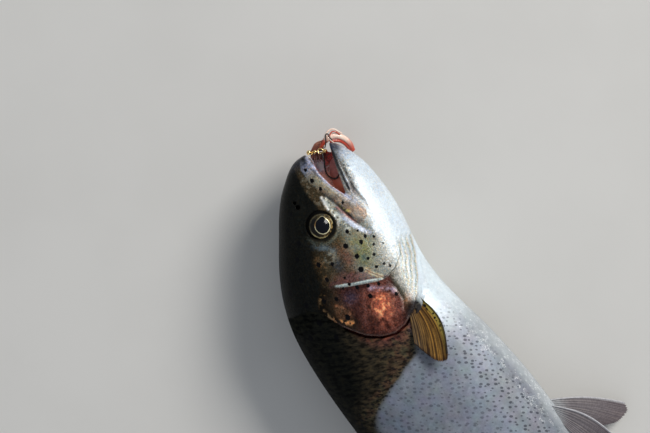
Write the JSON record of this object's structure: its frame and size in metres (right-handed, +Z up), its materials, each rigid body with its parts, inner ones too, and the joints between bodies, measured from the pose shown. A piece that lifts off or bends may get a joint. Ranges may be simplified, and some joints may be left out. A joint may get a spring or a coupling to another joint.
{
  "type": "rainbow trout",
  "caption": "Life-size rainbow trout lying on its left side, mouth open on an angler's fly, with spotted olive back, red gill cover and silver belly.",
  "frame": {"origin": "centre of the fish's own box, on the floor it lies on", "axes": "+X towards the snout, +Y towards the back, -Y towards the belly, +Z up from the floor, out of the fish's right side"},
  "size_m": [0.4758, 0.1612, 0.0641],
  "materials": {
    "skin": "wet scaled skin, olive-black back, red gill cover, silver belly, dark spots",
    "fin": "wet translucent fin skin over rays",
    "mouth": "wet flesh",
    "eye": "clear wet eye, black pupil with a gold rim, dark iris",
    "hook_steel": "dark bronzed wire",
    "brass_beads": "polished",
    "orange_strap": "wet translucent orange",
    "hackle": "wet red-brown feather fibres"
  },
  "bodies": {
    "root": {"head": "skin", "lower_jaw": "skin", "maxilla_right": "skin", "maxilla_left": "skin", "gill_cover_right": "skin", "gill_cover_left": "skin", "trunk_front": "skin", "trunk_rear": "skin", "tail_stalk": "skin", "adipose_fin": "skin", "tongue": "mouth", "eye_right": "eye", "eye_left": "eye", "dorsal_fin": "fin", "anal_fin": "fin", "caudal_fin": "fin", "pectoral_fin_right": "fin", "pectoral_fin_left": "fin", "pelvic_fin_right": "fin", "pelvic_fin_left": "fin", "fly_hook": "hook_steel", "fly_beads": "brass_beads", "fly_strap": "orange_strap", "fly_loop": "orange_strap", "fly_hackle": "hackle"}
  },
  "joints": []
}
